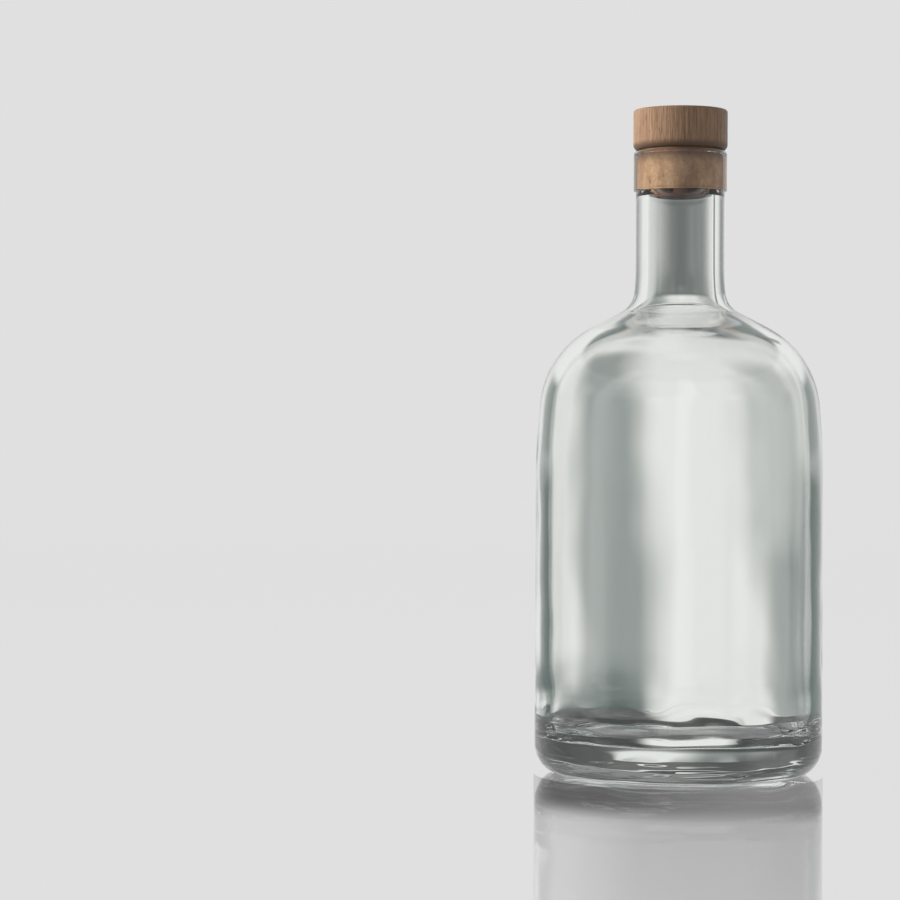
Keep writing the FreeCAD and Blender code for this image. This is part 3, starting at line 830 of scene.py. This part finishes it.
class BOTTLE_OT_studio(bpy.types.Operator):
    """Set the table, the light tent, the lamps and the camera"""

    bl_idname = "bottle.studio"
    bl_label = "Studio"

    def execute(self, context):
        studio = context.scene.bottle_studio
        table = bpy.data.meshes.new("table_top")
        reach = 6.0
        corners = [(-reach, -reach), (reach, -reach), (reach, reach), (-reach, reach)]
        table.from_pydata([(x, y, -0.03 * MM) for x, y in corners], [], [(0, 1, 2, 3)])
        table.materials.append(table_top(studio))
        floor = bpy.data.objects.new("table_top", table)
        context.scene.collection.objects.link(floor)
        radius, height = studio.tent_radius, studio.tent_height
        wall = ring_of_cloth("tent_wall", radius, radius, 0.0, height)
        wall.data.materials.append(tent_cloth("Diffusion cloth", studio, studio.shade, upright=True))
        level_cloth = tent_cloth("Diffusion cloth, level", studio, studio.gloom, upright=False)
        ring_of_cloth("tent_lid", 0.0, radius, height, height).data.materials.append(level_cloth)
        ring_of_cloth("tent_floor", 0.0, radius, -0.01 * MM, -0.01 * MM).data.materials.append(level_cloth)
        key = add_lamp(context, "key", (-2.63, 0.1, 0.9), (1.0, 1.0), studio.key_light)
        key.data.spread = math.radians(60)
        only_cork = bpy.data.collections.new("only_cork")
        only_cork.objects.link(bpy.data.objects["stopper_cork_plug"])
        for name, place, share in (("left", (-1.74, -0.2, 0.4), 1.0), ("right", (1.5, -0.9, 0.4), 0.18)):
            inner = add_lamp(context, f"cork_{name}", place, (0.5, 0.5), share * studio.cork_light)
            inner.data.color = (1.0, 0.74, 0.88)
            inner.light_linking.receiver_collection = only_cork
            inner.light_linking.blocker_collection = only_cork
        world = bpy.data.worlds.new("studio")
        world.use_nodes = True
        tree = world.node_tree
        tree.nodes.clear()
        levels = (seen_directly(tree), 0.0, 1.0, studio.dome_light, 1.0)
        strength = add(tree, "ShaderNodeMapRange", levels, interpolation_type="SMOOTHSTEP").outputs[0]
        sky = add(tree, "ShaderNodeBackground", ((*studio.paper, 1.0), strength)).outputs[0]
        add(tree, "ShaderNodeOutputWorld", {"Surface": sky})
        context.scene.world = world
        lens = bpy.data.cameras.new("camera")
        lens.sensor_width = 36.0
        lens.lens = studio.focal_length
        lens.clip_start = 0.01
        camera = bpy.data.objects.new("camera", lens)
        camera.location = (-studio.camera_aside, -studio.camera_distance, studio.camera_height)
        aim = Euler((QUARTER + studio.tilt, 0.0, 0.0)).to_matrix()
        lean = Euler((0.0, 0.0, studio.roll)).to_matrix()
        camera.rotation_euler = (aim @ lean).to_euler()
        context.scene.collection.objects.link(camera)
        context.scene.camera = camera
        context.scene.view_settings.view_transform = "Standard"
        context.scene.cycles.max_bounces = 32
        context.scene.cycles.transmission_bounces = 32
        context.scene.cycles.glossy_bounces = 12
        context.scene.cycles.use_denoising = True
        return {"FINISHED"}


def ring_of_cloth(name, inner, outer, low, high):
    """A ring of cloth round the bottle that only rays through glass can see."""
    count = 96
    points = []
    for part in range(count + 1):
        out = heading_vector(math.tau * part / count)
        points += [(inner * out.x, inner * out.y, low), (outer * out.x, outer * out.y, high)]
    faces = [(2 * part, 2 * part + 1, 2 * part + 3, 2 * part + 2) for part in range(count)]
    mesh = bpy.data.meshes.new(name)
    mesh.from_pydata(points, [], faces)
    cloth = bpy.data.objects.new(name, mesh)
    bpy.context.scene.collection.objects.link(cloth)
    cloth.visible_camera = False
    cloth.visible_diffuse = False
    cloth.visible_glossy = False
    cloth.visible_shadow = False
    return cloth


def add_lamp(context, name, place, size, power):
    """A soft lamp that faces the middle of the bottle."""
    light = bpy.data.lights.new(name, "AREA")
    light.shape = "RECTANGLE"
    light.size, light.size_y = size
    light.energy = power
    lamp = bpy.data.objects.new(name, light)
    lamp.location = place
    lamp.rotation_euler = (Vector((0.0, 0.0, 0.12)) - lamp.location).to_track_quat("-Z", "Y").to_euler()
    lamp.visible_glossy = False
    lamp.visible_transmission = False
    context.scene.collection.objects.link(lamp)
    return lamp


class BOTTLE_PT_pieces(bpy.types.Panel):
    """The bottle's pieces and settings"""

    bl_label = "Stoppered Glass Bottle"
    bl_idname = "BOTTLE_PT_pieces"
    bl_space_type = "VIEW_3D"
    bl_region_type = "UI"
    bl_category = "Bottle"

    def draw(self, context):
        groups = (
            (context.scene.bottle_glass, BOTTLE_OT_glass),
            (context.scene.bottle_stopper, BOTTLE_OT_stopper),
            (context.scene.bottle_studio, BOTTLE_OT_studio),
        )
        for settings, operator in groups:
            box = self.layout.box()
            box.operator(operator.bl_idname)
            for name in settings.bl_rna.properties.keys():
                if name not in {"rna_type", "name"}:
                    box.prop(settings, name)


CLASSES = (
    BottleGlass,
    StopperSizes,
    StudioSettings,
    BOTTLE_OT_glass,
    BOTTLE_OT_stopper,
    BOTTLE_OT_studio,
    BOTTLE_PT_pieces,
)


def register():
    for kind in CLASSES:
        bpy.utils.register_class(kind)
    bpy.types.Scene.bottle_glass = PointerProperty(type=BottleGlass)
    bpy.types.Scene.bottle_stopper = PointerProperty(type=StopperSizes)
    bpy.types.Scene.bottle_studio = PointerProperty(type=StudioSettings)


def unregister():
    del bpy.types.Scene.bottle_studio
    del bpy.types.Scene.bottle_stopper
    del bpy.types.Scene.bottle_glass
    for kind in reversed(CLASSES):
        bpy.utils.unregister_class(kind)


def main():
    """Make every piece and the studio."""
    register()
    bpy.ops.bottle.glass()
    bpy.ops.bottle.stopper()
    bpy.ops.bottle.studio()


if __name__ == "__main__":
    main()
